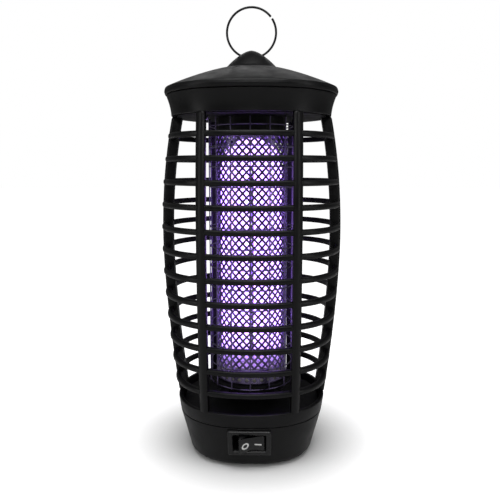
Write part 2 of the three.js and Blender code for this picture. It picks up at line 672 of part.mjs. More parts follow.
function upperInsulatorPiece() {
  const radius = SKIRT_RADIUS - WALL - 2 * GAP;
  const top = upperInsulator + INSULATOR;
  let plate = plug(radius, upperInsulator, top);
  for (const angle of roofScrewAngles) {
    const [x, y] = polar(roofScrewCircle, angle);
    plate = plate.subtract(rod(SCREW_SHANK / 2 + GAP, upperInsulator - 1, top + 1, x, y));
  }
  const bossEnd = gridTop - MESH_DOWN - BOSS_OVERLAP;
  return plate.add(rod(MESH_RADIUS - MESH_THICKNESS - GAP, bossEnd, upperInsulator + 1, 0, 0, 28));
}
add("upper_insulator", upperInsulatorPiece(), INNER_PLASTIC);
roofScrewAngles.forEach((angle, i) => {
  const [x, y] = polar(roofScrewCircle, angle);
  add(`roof_screw_${i + 1}`, screw(x, y, upperInsulator, SCREW_HEAD_HEIGHT, ROOF_SCREW_LENGTH), SCREW_STEEL);
});

// ---- Electronics in the base ------------------------------------------------------------------------
const BOARD = { width: 30, depth: 26, thickness: 1.6, y: 1, above: 2.4 };
const CORE = { width: 11, depth: 10, height: 9, x: -6, y: 4 };
const CORE_WINDOW = { width: 1.6, height: 5, offset: 3.6, sill: 2 };
const CAPACITOR = { width: 10, depth: 5, height: 8, x: 6.5, places: [0.5, 7] };
const FUSE = { radius: 1.6, length: 8, y: -4.5 };
const boardBottom = coverTop + BOARD.above;
const boardTop = boardBottom + BOARD.thickness;
const leadFoot = boardTop + GAP; // what stands on the board

function circuitBoard() {
  let board = block(BOARD.width, BOARD.depth, BOARD.thickness, 0, BOARD.y, boardBottom);
  for (const [x, y] of coverScrewPlaces) {
    board = board.subtract(rod(BOSS_RADIUS + GAP, 0, boardTop + 1, x, y));
  }
  return board;
}
add("circuit_board", circuitBoard(), BOARD_GREEN);

function transformer() {
  const { width, height, offset, sill } = CORE_WINDOW;
  const core = block(CORE.width, CORE.depth, CORE.height, CORE.x, CORE.y, leadFoot);
  const windows = [-1, 1].map((side) =>
    block(width, CORE.depth + 1, height, CORE.x + side * offset, CORE.y, leadFoot + sill),
  );
  return cut(core, ...windows);
}
add("transformer", transformer(), FERRITE);

CAPACITOR.places.forEach((y, i) => {
  const { width, depth, height, x } = CAPACITOR;
  add(`film_capacitor_${i + 1}`, block(width, depth, height, x, y, leadFoot), CAPACITOR_FILM);
});

const fuse = rod(FUSE.radius, -FUSE.length / 2, FUSE.length / 2, 0, 0, 10).rotate([0, 90, 0]);
add("fuse", fuse.translate([0, FUSE.y, leadFoot + FUSE.radius]), LAMP_GLASS);

// Insulated leads: two up the column to the lamp, one from the switch to the board.
const LEAD_RADIUS = 0.6;
const LEAD_OFFSET = 2.5;
const LEAD_GAP = 0.75; // from the switch's terminal
const capEnd = plateTop - PLUG_LENGTH - GAP;
[-LEAD_OFFSET, LEAD_OFFSET].forEach((x, i) => {
  const route = [[x, -9.5, leadFoot], [x, -8.5, leadFoot + 7], [x, -2.5, leadFoot + 13], [x, 0, capEnd]];
  add(`lamp_lead_${i + 1}`, bar(route, LEAD_RADIUS, 10, 6), LEAD_RED);
});

const leadStart = SWITCH_BODY_DEPTH + 1.5 * GAP + TERMINAL.length + LEAD_GAP;
const terminalEnd = onFrontPoint(-TERMINAL.offset, leadStart, 0);
const switchRoute = [
  terminalEnd,
  [-5, terminalEnd[1] + 3.4, terminalEnd[2] - 2.6],
  [-6, -10.4, leadFoot + 4],
  [-6, -10, leadFoot],
];
add("switch_lead", bar(switchRoute, LEAD_RADIUS, 10, 6), LEAD_BLACK);

// The bush that the mains cord would pass through, at the back of the base.
function cordBush() {
  const proud = 2;
  const seat = 0.4;
  const flange = rod(BUSH_RADIUS + BUSH_FLANGE, seat, proud, 0, 0, 16);
  const neck = rod(BUSH_RADIUS, -WALL - proud, proud / 2, 0, 0, 16);
  const bore = rod(BUSH_BORE, -CLEAR, CLEAR, 0, 0, 12);
  return onBack(cut(flange.add(neck), bore).rotate([90, 0, 0]));
}
add("cord_bush", cordBush(), RUBBER);

export default zapper;
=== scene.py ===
# %% [markdown]
# # A hanging bug zapper
# A black lantern with a ribbed cage. Inside the cage stand two wire cylinders with a high voltage between
# them, and a violet lamp that calls the insects in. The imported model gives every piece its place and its
# motion. This lesson gives each piece its fine shape and its finish.

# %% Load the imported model
import json
import math

import bmesh
import bpy
from mathutils import Matrix, Vector


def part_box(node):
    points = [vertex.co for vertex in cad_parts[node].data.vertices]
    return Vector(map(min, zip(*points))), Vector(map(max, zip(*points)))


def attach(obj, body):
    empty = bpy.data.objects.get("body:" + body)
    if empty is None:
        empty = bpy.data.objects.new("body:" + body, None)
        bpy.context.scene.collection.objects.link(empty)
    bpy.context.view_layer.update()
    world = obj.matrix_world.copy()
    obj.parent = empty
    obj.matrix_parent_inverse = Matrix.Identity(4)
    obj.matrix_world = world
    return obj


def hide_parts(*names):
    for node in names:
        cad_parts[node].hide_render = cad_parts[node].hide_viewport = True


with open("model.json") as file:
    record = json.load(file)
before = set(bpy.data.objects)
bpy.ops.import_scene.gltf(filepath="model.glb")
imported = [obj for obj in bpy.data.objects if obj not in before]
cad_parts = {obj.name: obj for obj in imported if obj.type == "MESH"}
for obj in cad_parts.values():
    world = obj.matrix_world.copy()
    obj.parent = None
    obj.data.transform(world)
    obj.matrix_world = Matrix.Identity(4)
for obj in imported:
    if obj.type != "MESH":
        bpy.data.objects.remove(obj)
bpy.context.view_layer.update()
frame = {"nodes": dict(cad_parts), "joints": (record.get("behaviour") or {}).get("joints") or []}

# %% [markdown]
# ## Sizes
# Blender counts in metres, but a thing this small is easier to think of in millimetres. So the lantern's
# sizes are in millimetres, and one factor turns them into metres where a vertex is made. Only the studio's
# floor and panels are given in metres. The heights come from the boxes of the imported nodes, so the fine
# pieces land exactly where the plain ones are.

# %% Heights and radii, read from the nodes
MM = 0.001
GAP = 0.3  # clearance between pieces that touch


def corners(node):
    low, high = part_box(node)
    return low / MM, high / MM


POST_PROUD = 0.6
SPIGOT_HEIGHT = 2.8  # the part of the cage that stands inside the roof
BAND_HEIGHT = 6.7
cage_low, cage_high = corners("guard_cage_front")
band_bottom = cage_low.z
band_top = band_bottom + BAND_HEIGHT
skirt_bottom = corners("outer_grid")[1].z + 2 * GAP
skirt_top = cage_high.z - SPIGOT_HEIGHT
lip_bottom = skirt_top + GAP
finial_tip = corners("roof_cap")[1].z
body_radius = cage_high.x - POST_PROUD
base_top = corners("base_housing")[1].z
seam_radius = corners("base_housing")[1].x
print(f"cage {band_bottom:.1f} to {skirt_top:.1f} mm, widest {body_radius:.1f} mm from the axis")


# %% Joints, found by name
def find_joint(name):
    return next(joint for joint in frame["joints"] if joint["name"] == name)


for joint in frame["joints"]:
    print(joint["name"], joint["range_deg"], "degrees")

# %% [markdown]
# ## The plan of the body
# Seen from above the lantern is not quite round: its sides are a little flatter and its corners fuller.
# A superellipse does this with one number. Power 2 is a circle, and a higher power is squarer. It could
# be drawn as a spline, but a formula stays smooth at any number of sides.

# %% The soft-square plan
PLAN_POWER = 2.3


def plan_scale(angle, power=PLAN_POWER):
    return (abs(math.sin(angle)) ** power + abs(math.cos(angle)) ** power) ** (-1 / power)


def soft_square(angle, radius, height):
    return plan_scale(angle)


def circle(angle, radius, height):
    return 1.0


def ease(share):
    share = min(1, max(0, share))
    return share * share * (3 - 2 * share)


print(f"corners stand {100 * (plan_scale(math.pi / 4) - 1):.1f}% further out than the sides")

# %% [markdown]
# ## Tools for turned pieces
# Nearly every moulding here is a profile turned about the middle axis. The Spin tool or a Screw modifier
# would do it for a circle, but not for the soft-square plan, so a short function makes the rows of
# vertices itself. A second function rounds the corners of a profile first. No moulded edge is sharp, and
# the thin light line that a rounded edge catches is most of what makes plastic look real.

# %% Round the corners of a profile
ARC_STEPS = 4


def rounded(points, radius, closed=True):
    """The outline with each corner turned into an arc. radius is one number or one for each corner."""
    radii = radius if isinstance(radius, (list, tuple)) else [radius] * len(points)
    outline = []
    for i, point in enumerate(points):
        corner = Vector(point)
        is_end = not closed and i in (0, len(points) - 1)
        if is_end or radii[i] == 0:
            outline.append(corner)
            continue
        before = Vector(points[i - 1]) - corner
        after = Vector(points[(i + 1) % len(points)]) - corner
        half_angle = max(before.angle(after) / 2, 0.01)
        reach = min(radii[i] / math.tan(half_angle), 0.48 * before.length, 0.48 * after.length)
        start = corner + before.normalized() * reach
        end = corner + after.normalized() * reach
        for step in range(ARC_STEPS + 1):
            t = step / ARC_STEPS
            outline.append(start * (1 - t) ** 2 + corner * 2 * t * (1 - t) + end * t ** 2)
    return outline


trial = rounded([(0, 0), (9, 0), (9, 9), (0, 9)], 2)
print("a square with round corners has", len(trial), "points")


# %% Turn a profile about the axis
SIDES = 128


def turn(mesh, profile, plan=circle, span=(0, 360), sides=SIDES):
    """Adds a turned solid to a bmesh. A profile that starts off the axis closes on itself."""
    full = span[1] - span[0] >= 360
    count = sides if full else sides + 1
    angles = [math.radians(span[0] + (span[1] - span[0]) * i / sides) for i in range(count)]
    rows = []
    for radius, height in profile:
        if radius < 1e-6:
            rows.append([mesh.verts.new((0, 0, height * MM))] * count)
            continue
        row = []
        for angle in angles:
            reach = radius * plan(angle, radius, height) * MM
            row.append(mesh.verts.new((reach * math.cos(angle), reach * math.sin(angle), height * MM)))
        rows.append(row)
    closed = profile[0][0] > 1e-6
    for lower, upper in zip(rows, rows[1:] + (rows[:1] if closed else [])):
        for i in range(sides):
            j = (i + 1) % count
            face = list(dict.fromkeys((lower[i], lower[j], upper[j], upper[i])))
            if len(face) > 2:
                mesh.faces.new(face)
    if not full:
        mesh.faces.new([row[0] for row in rows])
        mesh.faces.new([row[-1] for row in reversed(rows)])


trial = bmesh.new()
turn(trial, [(0, 0), (9, 0), (9, 2), (0, 2)])
print("a turned disc has", len(trial.faces), "faces")
trial.free()


# %% Join loops of points, as a loft
def loft(mesh, loops, closed=False):
    """Skins loops that have equally many points. It caps both ends, or joins the last loop to the first."""
    rows = [[mesh.verts.new(Vector(point) * MM) for point in loop] for loop in loops]
    for lower, upper in zip(rows, rows[1:] + (rows[:1] if closed else [])):
        for i in range(len(lower)):
            j = (i + 1) % len(lower)
            mesh.faces.new((lower[i], lower[j], upper[j], upper[i]))
    if not closed:
        mesh.faces.new(reversed(rows[0]))
        mesh.faces.new(rows[-1])


trial = bmesh.new()
loft(trial, [[(0, 0, z), (9, 0, z), (9, 9, z), (0, 9, z)] for z in (0, 9)])
print("a lofted box has", len(trial.faces), "faces")
trial.free()


# %% Put a finished mesh on its body
SMOOTH_BELOW = math.radians(40)


def piece(name, mesh, material, body, slot, *nodes):
    """Makes an object of a bmesh. If a body is named, it rides on it and stands for the nodes."""
    bmesh.ops.recalc_face_normals(mesh, faces=mesh.faces)
    data = bpy.data.meshes.new(name)
    mesh.to_mesh(data)
    mesh.free()
    data.shade_smooth()
    data.set_sharp_from_angle(angle=SMOOTH_BELOW)
    made = bpy.data.objects.new(name, data)
    bpy.context.scene.collection.objects.link(made)
    if material:
        data.materials.append(material)
    if body:
        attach(made, body)
        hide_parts(*nodes)
    return made


print(f"edges that turn by more than {math.degrees(SMOOTH_BELOW):.0f} degrees stay sharp")


# %% Bevel an edge and cut a hole
def bake_modifiers(made):
    """Replaces an object's mesh by what its modifiers make of it."""
    shown = made.evaluated_get(bpy.context.evaluated_depsgraph_get())
    data = bpy.data.meshes.new_from_object(shown)
    made.modifiers.clear()
    made.data = data
    data.shade_smooth()
    data.set_sharp_from_angle(angle=SMOOTH_BELOW)


def add_bevel(made, width, segments, angle):
    bevel = made.modifiers.new("soft edges", "BEVEL")
    bevel.width = width * MM
    bevel.segments = segments
    bevel.limit_method = "ANGLE"
    bevel.angle_limit = math.radians(angle)


def carve(made, *meshes):
    """Cuts bmeshes out of an object."""
    cutters = [piece("cutter", mesh, None, None, None) for mesh in meshes]
    for cutter in cutters:
        difference = made.modifiers.new("carve", "BOOLEAN")
        difference.operation = "DIFFERENCE"
        difference.solver = "EXACT"
        difference.object = cutter
    bake_modifiers(made)
    for cutter in cutters:
        bpy.data.objects.remove(cutter)


print("add_bevel() softens real corners, and carve() cuts")

# %% [markdown]
# ## Finishes
# The shell is black ABS from a finely eroded mould: dark, satin, with a grain that a fingernail can just
# feel. One colour and one roughness would look like a toy render, so each finish here gets three kinds of
# small change: a slow drift in colour, a patchy roughness as from handling, and a fine bump. All three
# come from noise in object space, so they need no unwrapped texture and no image.

# %% Noise in object space, and a map from one range to another
def add_noise(material, scale, detail):
    """Adds a noise texture and returns its value, which lies mostly between 0.3 and 0.7."""
    nodes = material.node_tree.nodes
    place = nodes.new("ShaderNodeTexCoord")
    noise = nodes.new("ShaderNodeTexNoise")
    noise.inputs["Scale"].default_value = scale
    noise.inputs["Detail"].default_value = detail
    material.node_tree.links.new(place.outputs["Object"], noise.inputs["Vector"])
    return noise.outputs["Fac"]


def add_range(tree, source, low, high, to_low, to_high):
    """Maps low..high of a value to to_low..to_high, and stays at the ends outside that."""
    between = tree.nodes.new("ShaderNodeMapRange")
    between.inputs["From Min"].default_value = low
    between.inputs["From Max"].default_value = high
    between.inputs["To Min"].default_value = to_low
    between.inputs["To Max"].default_value = to_high
    tree.links.new(source, between.inputs["Value"])
    return between.outputs["Result"]


print("two helpers for node trees")

# %% A maker of finishes
DRIFT_SCALE = 45  # noise scales are in waves per metre
PATCH_SCALE = 130
MIRROR_LIMIT = 0.03  # nothing here is smoother than this
BUMP_HEIGHT = 0.2


def finish(name, colour, roughness, *, drift=0.25, patches=0.08, grain=2600, bump=0.04, **fixed):
    """A Principled finish. colour drifts by a share, roughness by patches, and grain is bumps per metre."""
    material = bpy.data.materials.new(name)
    material.use_nodes = True
    tree = material.node_tree
    shader = tree.nodes["Principled BSDF"]
    for socket, value in fixed.items():
        shader.inputs[socket.replace("_", " ")].default_value = value

    tint = tree.nodes.new("ShaderNodeValToRGB")
    darker, lighter = tint.color_ramp.elements
    darker.position = 0.3
    lighter.position = 0.7
    darker.color = [c * (1 - drift) for c in colour] + [1]
    lighter.color = [min(1, c * (1 + drift)) for c in colour] + [1]
    tree.links.new(add_noise(material, DRIFT_SCALE, 4), tint.inputs["Fac"])
    tree.links.new(tint.outputs["Color"], shader.inputs["Base Color"])

    smoothest = max(MIRROR_LIMIT, roughness - patches)
    worn = add_range(tree, add_noise(material, PATCH_SCALE, 6), 0.3, 0.7, smoothest, roughness + patches)
    tree.links.new(worn, shader.inputs["Roughness"])

    raised = tree.nodes.new("ShaderNodeBump")
    raised.inputs["Strength"].default_value = bump
    raised.inputs["Distance"].default_value = BUMP_HEIGHT * MM
    tree.links.new(add_noise(material, grain, 3), raised.inputs["Height"])
    tree.links.new(raised.outputs["Normal"], shader.inputs["Normal"])
    return material


print("finish() makes a material of a colour, a roughness and three noises")

# %% The black plastics and the rubber
SHELL = (0.0035, 0.0035, 0.0038)
INNER = (0.004, 0.004, 0.0045)
SWITCH = (0.005, 0.005, 0.0054)
RUBBER = (0.016, 0.016, 0.016)
shell_black = finish("shell_black", SHELL, 0.38, bump=0.1, Specular_IOR_Level=0.2)
inner_black = finish("inner_black", INNER, 0.55, grain=1800, bump=0.08, Specular_IOR_Level=0.2)
switch_black = finish("switch_black", SWITCH, 0.3, bump=0.05, Specular_IOR_Level=0.35)
foot_rubber = finish("foot_rubber", RUBBER, 0.85, grain=1500, bump=0.2, Specular_IOR_Level=0.25)
print(len(bpy.data.materials), "finishes")

# %% [markdown]
# ## Guard cage
# The cage keeps fingers off the grid. It is wider in the middle than at its ends, so no mould core could
# leave it, and it comes as two half shells that meet at the side posts. Each half is one moulding: a
# flared skirt, twelve rings, four posts (two of them halves) and a band. A Mirror modifier could make the
# rear half, but turning each profile through its own half circle gives both halves their real, closed
# parting faces.

# %% The barrel's outline
WALL = 2
SKIRT_RADIUS = 39.9
SKIRT_FLARE = 2.3
SKIRT_BOW = 1.7
WIDEST_AT = 0.59  # share of the cage's height
LOWER_BOW = 1.63
UPPER_BOW = 2.15
widest_height = band_bottom + WIDEST_AT * (skirt_bottom - band_bottom)


def barrel(height):
    """Half width of the cage at a height."""
    if height < widest_height:
        end, radius, bow = band_bottom, seam_radius, LOWER_BOW
    else:
        end, radius, bow = skirt_bottom, SKIRT_RADIUS, UPPER_BOW
    share = abs((height - widest_height) / (end - widest_height))
    return body_radius - (body_radius - radius) * share ** bow


print(f"widest at {widest_height:.1f} mm, {barrel(skirt_bottom):.1f} mm from the axis under the skirt")

# %% The skirt as a profile, with the spigot that stands inside the roof
LIP_RADIUS = 43.2
LIP_EXTRA = 0.4
SKIRT_STEPS = 14
spigot_radius = LIP_RADIUS - WALL - LIP_EXTRA - GAP


def skirt_point(share):
    """A point of the flare, from its lower edge at 0 to its upper edge at 1."""
    radius = SKIRT_RADIUS + SKIRT_FLARE * share ** SKIRT_BOW
    return (radius, skirt_bottom + (skirt_top - skirt_bottom) * share)


def skirt_profile():
    flare = [skirt_point(i / SKIRT_STEPS) for i in range(SKIRT_STEPS + 1)]
    inside = [
        (spigot_radius, skirt_top),
        (spigot_radius, cage_high.z),
        (spigot_radius - WALL, cage_high.z),
        (spigot_radius - WALL, skirt_top),
        (SKIRT_RADIUS - WALL, skirt_bottom),
    ]
    radii = [0.5] + [0] * (SKIRT_STEPS - 1) + [0.3] + [0.2] * 4 + [0.5]
    return rounded(flare + inside, radii)


print(f"skirt {skirt_top - skirt_bottom:.1f} mm high, spigot {spigot_radius:.1f} mm from the axis")

# %% Rings and band as profiles
RING_COUNT = 12
RING_HEIGHT = 2.8
RING_DEPTH = 2.6
ring_pitch = (skirt_bottom - band_top + RING_HEIGHT) / (RING_COUNT + 1)
ring_heights = [skirt_bottom + RING_HEIGHT / 2 - ring_pitch * (i + 1) for i in range(RING_COUNT)]
RING_FACE = 1.3  # radius of its outer edges
BAND_LEDGE = 1.8  # how far the band's floor reaches in past its wall
LEDGE_HEIGHT = 1.2


def band_profile():
    low, high = barrel(band_bottom), barrel(band_top)
    ledge = low - WALL - BAND_LEDGE
    ledge_top = band_bottom + LEDGE_HEIGHT
    outline = [
        (ledge, band_bottom), (low, band_bottom), (high, band_top),
        (high - WALL, band_top), (low - WALL, ledge_top), (ledge, ledge_top),
    ]
    return rounded(outline, [0.2, 0.35, 0.7, 0.5, 0.3, 0.2])


def ring_profile(middle):
    radius = barrel(middle)
    low, high = middle - RING_HEIGHT / 2, middle + RING_HEIGHT / 2
    inside = radius - RING_DEPTH
    outline = [(inside, low), (radius, low), (radius, high), (inside, high)]
    return rounded(outline, [0.5, RING_FACE, RING_FACE, 0.5])


print(f"rings every {ring_pitch:.2f} mm, with {ring_pitch - RING_HEIGHT:.1f} mm between them")

# %% [markdown]
# The posts are half-round outside, where a hand could touch them, and flat-sided inside, as the mould
# pulls them. A curve with a bevel object would sweep such a section, but it couldn't shrink it at the
# head and split it at the parting. So each is lofted from a level section that slides up the barrel. Near
# its top the section shrinks along most of a quarter circle, which gives the post its domed head at the
# skirt's lower edge.

# %% One section of a post
POST_WIDTH = 4.7
POST_DEPTH = 5.4
POST_OFFSET = 22
POST_HEAD = 0.9
CROWN = 1.7  # how far the half-round face falls back at its edges
HEAD_SINK = 1.5  # how far the head falls back into the skirt
SECTION_STEPS = 10


def plan_depth(across, radius):
    """Distance from the middle plane to the plan's outline, at a place across it."""
    return (radius ** PLAN_POWER - abs(across) ** PLAN_POWER) ** (1 / PLAN_POWER)


def post_section(height, offset, low, high, fade, sideways, sign):
    """One loop of a post. low and high, from -1 to 1, keep part of its width, and fade shrinks it."""
    radius = barrel(min(height, skirt_bottom))
    face = POST_PROUD * fade - HEAD_SINK * (1 - fade)
    loop = []
    for i in range(SECTION_STEPS + 1):
        share = low + (high - low) * i / SECTION_STEPS
        across = offset + share * POST_WIDTH / 2 * fade
        fall = CROWN * (1 - math.sqrt(max(0, 1 - share ** 2)))
        loop.append((across, plan_depth(across, radius) + face - fall))
    for share in (high, low):
        across = offset + share * POST_WIDTH / 2 * fade
        loop.append((across, plan_depth(across, radius) - POST_DEPTH + POST_PROUD))
    if sideways:
        return [(out * sign, across, height) for across, out in loop]
    return [(across, out * sign, height) for across, out in loop]


print(f"posts {POST_WIDTH} mm wide and {POST_DEPTH} mm deep")

# %% A whole post
POST_FOOT = 0.6  # how far it starts below the band's top
HEAD_STARTS = 0.7  # how far below the skirt's lower edge the head begins to shrink
HEAD_TURN = 14.5  # degrees of the head's circle for each step
HEAD_STEPS = 6
POST_STEPS = 28


def add_post(mesh, offset, sideways=False, sign=1, low=-1.0, high=1.0):
    foot = band_top - POST_FOOT
    shoulder = skirt_bottom - HEAD_STARTS
    head = POST_HEAD + HEAD_STARTS
    levels = [(foot + (shoulder - foot) * i / POST_STEPS, 1) for i in range(POST_STEPS + 1)]
    for i in range(1, HEAD_STEPS + 1):
        bent = math.radians(HEAD_TURN * i)
        levels.append((shoulder + head * math.sin(bent), math.cos(bent)))
    loft(mesh, [post_section(h, offset, low, high, fade, sideways, sign) for h, fade in levels])


print(POST_STEPS + HEAD_STEPS + 1, "sections in each post")

# %% Turned parts of a half shell
PARTING = 0.12  # visible gap between the two half shells


def add_turned_parts(mesh, start):
    """The skirt, the band and the rings through half a turn, a hair short of it at both ends."""
    profiles = [skirt_profile(), band_profile()] + [ring_profile(height) for height in ring_heights]
    for profile in profiles:
        setback = math.degrees(PARTING / 2 / max(point[0] for point in profile))
        turn(mesh, profile, soft_square, (start + setback, start + 180 - setback), SIDES // 2)


print("the half shells stand", PARTING, "mm apart")


# %% The two half shells
def half_shell(node, front):
    mesh = bmesh.new()
    add_turned_parts(mesh, 180 if front else 0)
    for offset in (-POST_OFFSET, POST_OFFSET):
        add_post(mesh, offset, sign=-1 if front else 1)
    edge = PARTING / POST_WIDTH
    low, high = (-1.0, -edge) if front else (edge, 1.0)
    for side in (-1, 1):
        add_post(mesh, 0, sideways=True, sign=side, low=low, high=high)
    return piece(f"fine_{node}", mesh, shell_black, "housing", "black_plastic", node)


for node, front in (("guard_cage_front", True), ("guard_cage_rear", False)):
    shell = half_shell(node, front)
    print(shell.name, len(shell.data.polygons), "faces")

# %% [markdown]
# ## Roof cap
# The roof sheds rain past the skirt: a shallow dome with a rolled lip, and a finial that takes the ring.
# Its plan changes on the way in, from the body's soft square at the lip to a true circle at the finial.
# The turning tool asks a function for the plan at each radius, so one profile can do both. The hole for
# the ring has flared mouths, and a Boolean cuts it, because no turned profile can have a cross hole.

# %% The roof's profile
FINIAL_RADIUS = 13.2
FINIAL_RISE = 9
LIP_HEIGHT = 3.2
LIP_INSET = 0.5  # of its upper and lower edges
ROLL_WIDTH = 2
ROLL_RISE = 0.9
ROOF_BOW = 1.3
ROOF_STEPS = 22
FINIAL_BOW = 1.6
FINIAL_STEPS = 16
finial_foot = finial_tip - FINIAL_RISE
ceiling = finial_foot - WALL
lip_top = lip_bottom + LIP_HEIGHT
lip_edge = LIP_RADIUS - LIP_INSET
lip_inside = LIP_RADIUS - WALL - LIP_EXTRA


def roof_plan(angle, radius, height):
    share = ease((radius - FINIAL_RADIUS) / (spigot_radius - WALL - FINIAL_RADIUS))
    return plan_scale(angle, 2 + (PLAN_POWER - 2) * share)


def lip_outline():
    outline = [
        (lip_inside, lip_bottom), (lip_edge, lip_bottom), (LIP_RADIUS, lip_bottom + LIP_HEIGHT / 2),
        (lip_edge, lip_top), (lip_edge - ROLL_WIDTH, lip_top + ROLL_RISE),
    ]
    return rounded(outline, [0, 0.6, 1.2, 0.9, 0], closed=False)


def roof_slope(share):
    """A point of the slope, from the finial's foot at 0 to the lip at 1."""
    radius = FINIAL_RADIUS + (lip_edge - FINIAL_RADIUS) * share
    return (radius, finial_foot - (finial_foot - lip_top) * share ** ROOF_BOW)


def finial_dome(share):
    """A point of the finial's dome, from its tip at 0 to its foot at 1."""
    return (FINIAL_RADIUS * share, finial_tip - FINIAL_RISE * share ** FINIAL_BOW)


print(f"roof from {lip_bottom:.1f} to {finial_tip:.1f} mm, its ceiling at {ceiling:.1f} mm")

# %% The whole section, from the ceiling round the lip to the tip
CEILING_DROP = (11, 7.2)  # where the ceiling turns down, in from the lip and up from its edge


def roof_profile():
    ceiling_line = [
        (FINIAL_RADIUS, ceiling),
        (lip_inside - CEILING_DROP[0], lip_bottom + CEILING_DROP[1]),
        (lip_inside, lip_bottom + SPIGOT_HEIGHT),
    ]
    slope = [roof_slope(i / ROOF_STEPS) for i in range(ROOF_STEPS - 2, -1, -1)]
    dome = [finial_dome(i / FINIAL_STEPS) for i in range(FINIAL_STEPS - 1, -1, -1)]
    return [(0, ceiling)] + ceiling_line + lip_outline()[:-1] + slope + dome


print(len(roof_profile()), "points in the section")

# %% Turn it and drill it
RING_HOLE = 1.75
MOUTH_START = 4.5
MOUTH_FLARE = 2.2
hole_height = find_joint("ring_swing")["pos_m"][2] / MM


def roof_cap():
    mesh = bmesh.new()
    turn(mesh, roof_profile(), roof_plan)
    cap = piece("fine_roof_cap", mesh, shell_black, "housing", "black_plastic", "roof_cap")
    wide = RING_HOLE + MOUTH_FLARE
    reach = FINIAL_RADIUS
    half = [(RING_HOLE, MOUTH_START), (wide, reach), (0, reach)]
    drill = bmesh.new()
    turn(drill, [(radius, -along) for radius, along in reversed(half)] + half, sides=40)
    drill.transform(Matrix.Translation((0, 0, hole_height * MM)) @ Matrix.Rotation(math.pi / 2, 4, "Y"))
    carve(cap, drill)
    return cap


cap = roof_cap()
print("roof", len(cap.data.polygons), "faces, hole at", round(hole_height, 1), "mm")

# %% [markdown]
# ## Hanging ring
# The ring is one piece of spring wire, bent round and closed with a butt joint after it has gone through
# the finial. A torus primitive has no joint, so the wire is lofted along the circle and its two cut ends
# are left a little apart, as they are on the real one.

# %% Steel finishes
ring_steel = finish("ring_steel", (0.02, 0.02, 0.021), 0.22, grain=5000, bump=0.02, Metallic=0.9)
grid_steel = finish("grid_steel", (0.17, 0.14, 0.25), 0.34, grain=4000, bump=0.05, Metallic=1.0)
zinc = finish("zinc", (0.46, 0.47, 0.5), 0.34, grain=3500, bump=0.08, Metallic=1.0)
print(len(bpy.data.materials), "finishes, with three steels")


# %% A round wire along a line of points
def wire(mesh, points, radius, closed=False, sides=10):
    """Lofts a round section along points. The section turns with the line and never twists."""
    path = [Vector(point) for point in points]
    loops = []
    across = None
    for i, point in enumerate(path):
        before = path[i - 1] if i or closed else path[i]
        after = path[(i + 1) % len(path)] if i < len(path) - 1 or closed else path[i]
        ahead = (after - before).normalized()
        if across is None:
            across = ahead.orthogonal().normalized()
        across = (across - ahead * across.dot(ahead)).normalized()
        up = ahead.cross(across)
        turns = [2 * math.pi * k / sides for k in range(sides)]
        loops.append([point + (across * math.cos(t) + up * math.sin(t)) * radius for t in turns])
    loft(mesh, loops, closed)


trial = bmesh.new()
wire(trial, [(0, 0, 0), (0, 0, 9)], 1)
print("a straight wire has", len(trial.faces), "faces")
trial.free()

# %% The ring
RING_WIRE = 1.1
JOINT_AT = 36  # degrees up from the right
JOINT_GAP = 5.5  # degrees that the joint stands open
PACKED_WIRE = 1.2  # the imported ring's wire is a little thicker
RING_STEPS = 120
ring_low, ring_high = corners("hang_ring")
ring_radius = (ring_high.x - ring_low.x - PACKED_WIRE) / 2
ring_middle = (ring_high.z + ring_low.z) / 2


def hang_ring():
    mesh = bmesh.new()
    line = []
    for i in range(RING_STEPS + 1):
        angle = math.radians(JOINT_AT + JOINT_GAP / 2 + (360 - JOINT_GAP) * i / RING_STEPS)
        line.append((ring_radius * math.cos(angle), 0, ring_middle + ring_radius * math.sin(angle)))
    wire(mesh, line, RING_WIRE / 2, sides=16)
    return piece("fine_hang_ring", mesh, ring_steel, "ring", "steel_wire", "hang_ring")


hang_ring()
print(f"ring {2 * ring_radius:.1f} mm across the wire's middle")

# %% [markdown]
# ## Base housing
# The base is a tapered tub that rolls under in a generous radius, and it holds the electronics. Its front
# has a flat pocket for the switch, square to the tapered wall, and its back has a round hole for the
# cord's bush. The tub is turned, and the pocket and the holes are cut with Booleans, as a mould maker adds
# them with inserts. The rocker's joint gives the wall's tilt, so the switch can't drift away from its pivot.

# %% The switch's own frame
rocker_joint = find_joint("rocker_tilt")
PIVOT_DEPTH = 1.6
tilt = math.asin(rocker_joint["axis"][1])
pivot = Vector(rocker_joint["pos_m"]) / MM
tilted = Matrix.Rotation(tilt, 4, "X")
on_front = Matrix.Translation((pivot - tilted @ Vector((0, PIVOT_DEPTH, 0))) * MM) @ tilted
print(f"the front wall leans {math.degrees(tilt):.1f} degrees")


# %% Rounded rectangles, the section of nearly every switch part
def rectangle(width, height, radius, depth, steps=5):
    """A loop in the switch's frame: X across, Z up, and depth measured outwards."""
    loop = []
    corner_middles = [(1, 1), (-1, 1), (-1, -1), (1, -1)]
    for quarter, (sx, sz) in enumerate(corner_middles):
        for i in range(steps + 1):
            angle = math.radians(90 * quarter + 90 * i / steps)
            x = sx * (width / 2 - radius) + radius * math.cos(angle)
            z = sz * (height / 2 - radius) + radius * math.sin(angle)
            loop.append((x, -depth, z))
    return loop


print(len(rectangle(2, 1, 0.2, 0)), "points in a rounded rectangle")

# %% The tub's plan and its leaning wall
FOOT_RADIUS = 31
FOOT_POWER = 2.6  # the plan is squarer at the foot
wall_slope = (seam_radius - FOOT_RADIUS) / base_top


def base_plan(angle, radius, height):
    return plan_scale(angle, FOOT_POWER + (PLAN_POWER - FOOT_POWER) * ease(height / base_top))


def wall_radius(height):
    return FOOT_RADIUS + wall_slope * height


print(f"tub {2 * FOOT_RADIUS} mm wide at the foot, {2 * seam_radius:.1f} mm at the seam")

